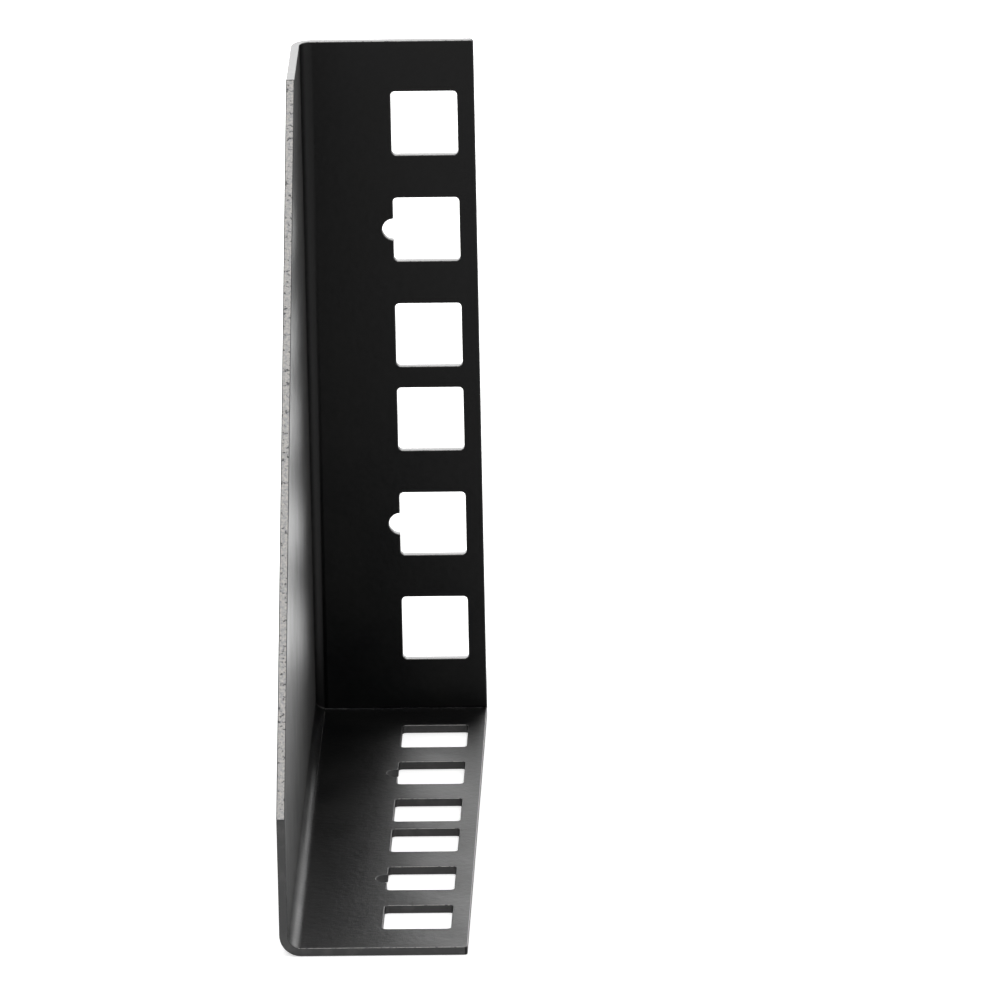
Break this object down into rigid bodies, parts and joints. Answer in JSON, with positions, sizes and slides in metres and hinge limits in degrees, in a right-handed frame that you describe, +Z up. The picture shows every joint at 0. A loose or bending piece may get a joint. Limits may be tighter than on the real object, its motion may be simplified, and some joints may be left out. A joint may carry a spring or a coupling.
{
  "type": "rack mount ear bracket",
  "caption": "Folded steel corner bracket with two legs at a right angle, a gusset and rows of square rack holes.",
  "frame": {"origin": "middle of the footprint, on the outer face of the floor leg", "axes": "+X from the gusset to the free edges of the legs, +Y out of the outer face of the upright leg, +Z up along the upright leg"},
  "size_m": [0.026, 0.102, 0.102],
  "materials": {
    "black_coat": "satin powder coat"
  },
  "bodies": {
    "root": {"bracket": "black_coat"}
  },
  "joints": []
}
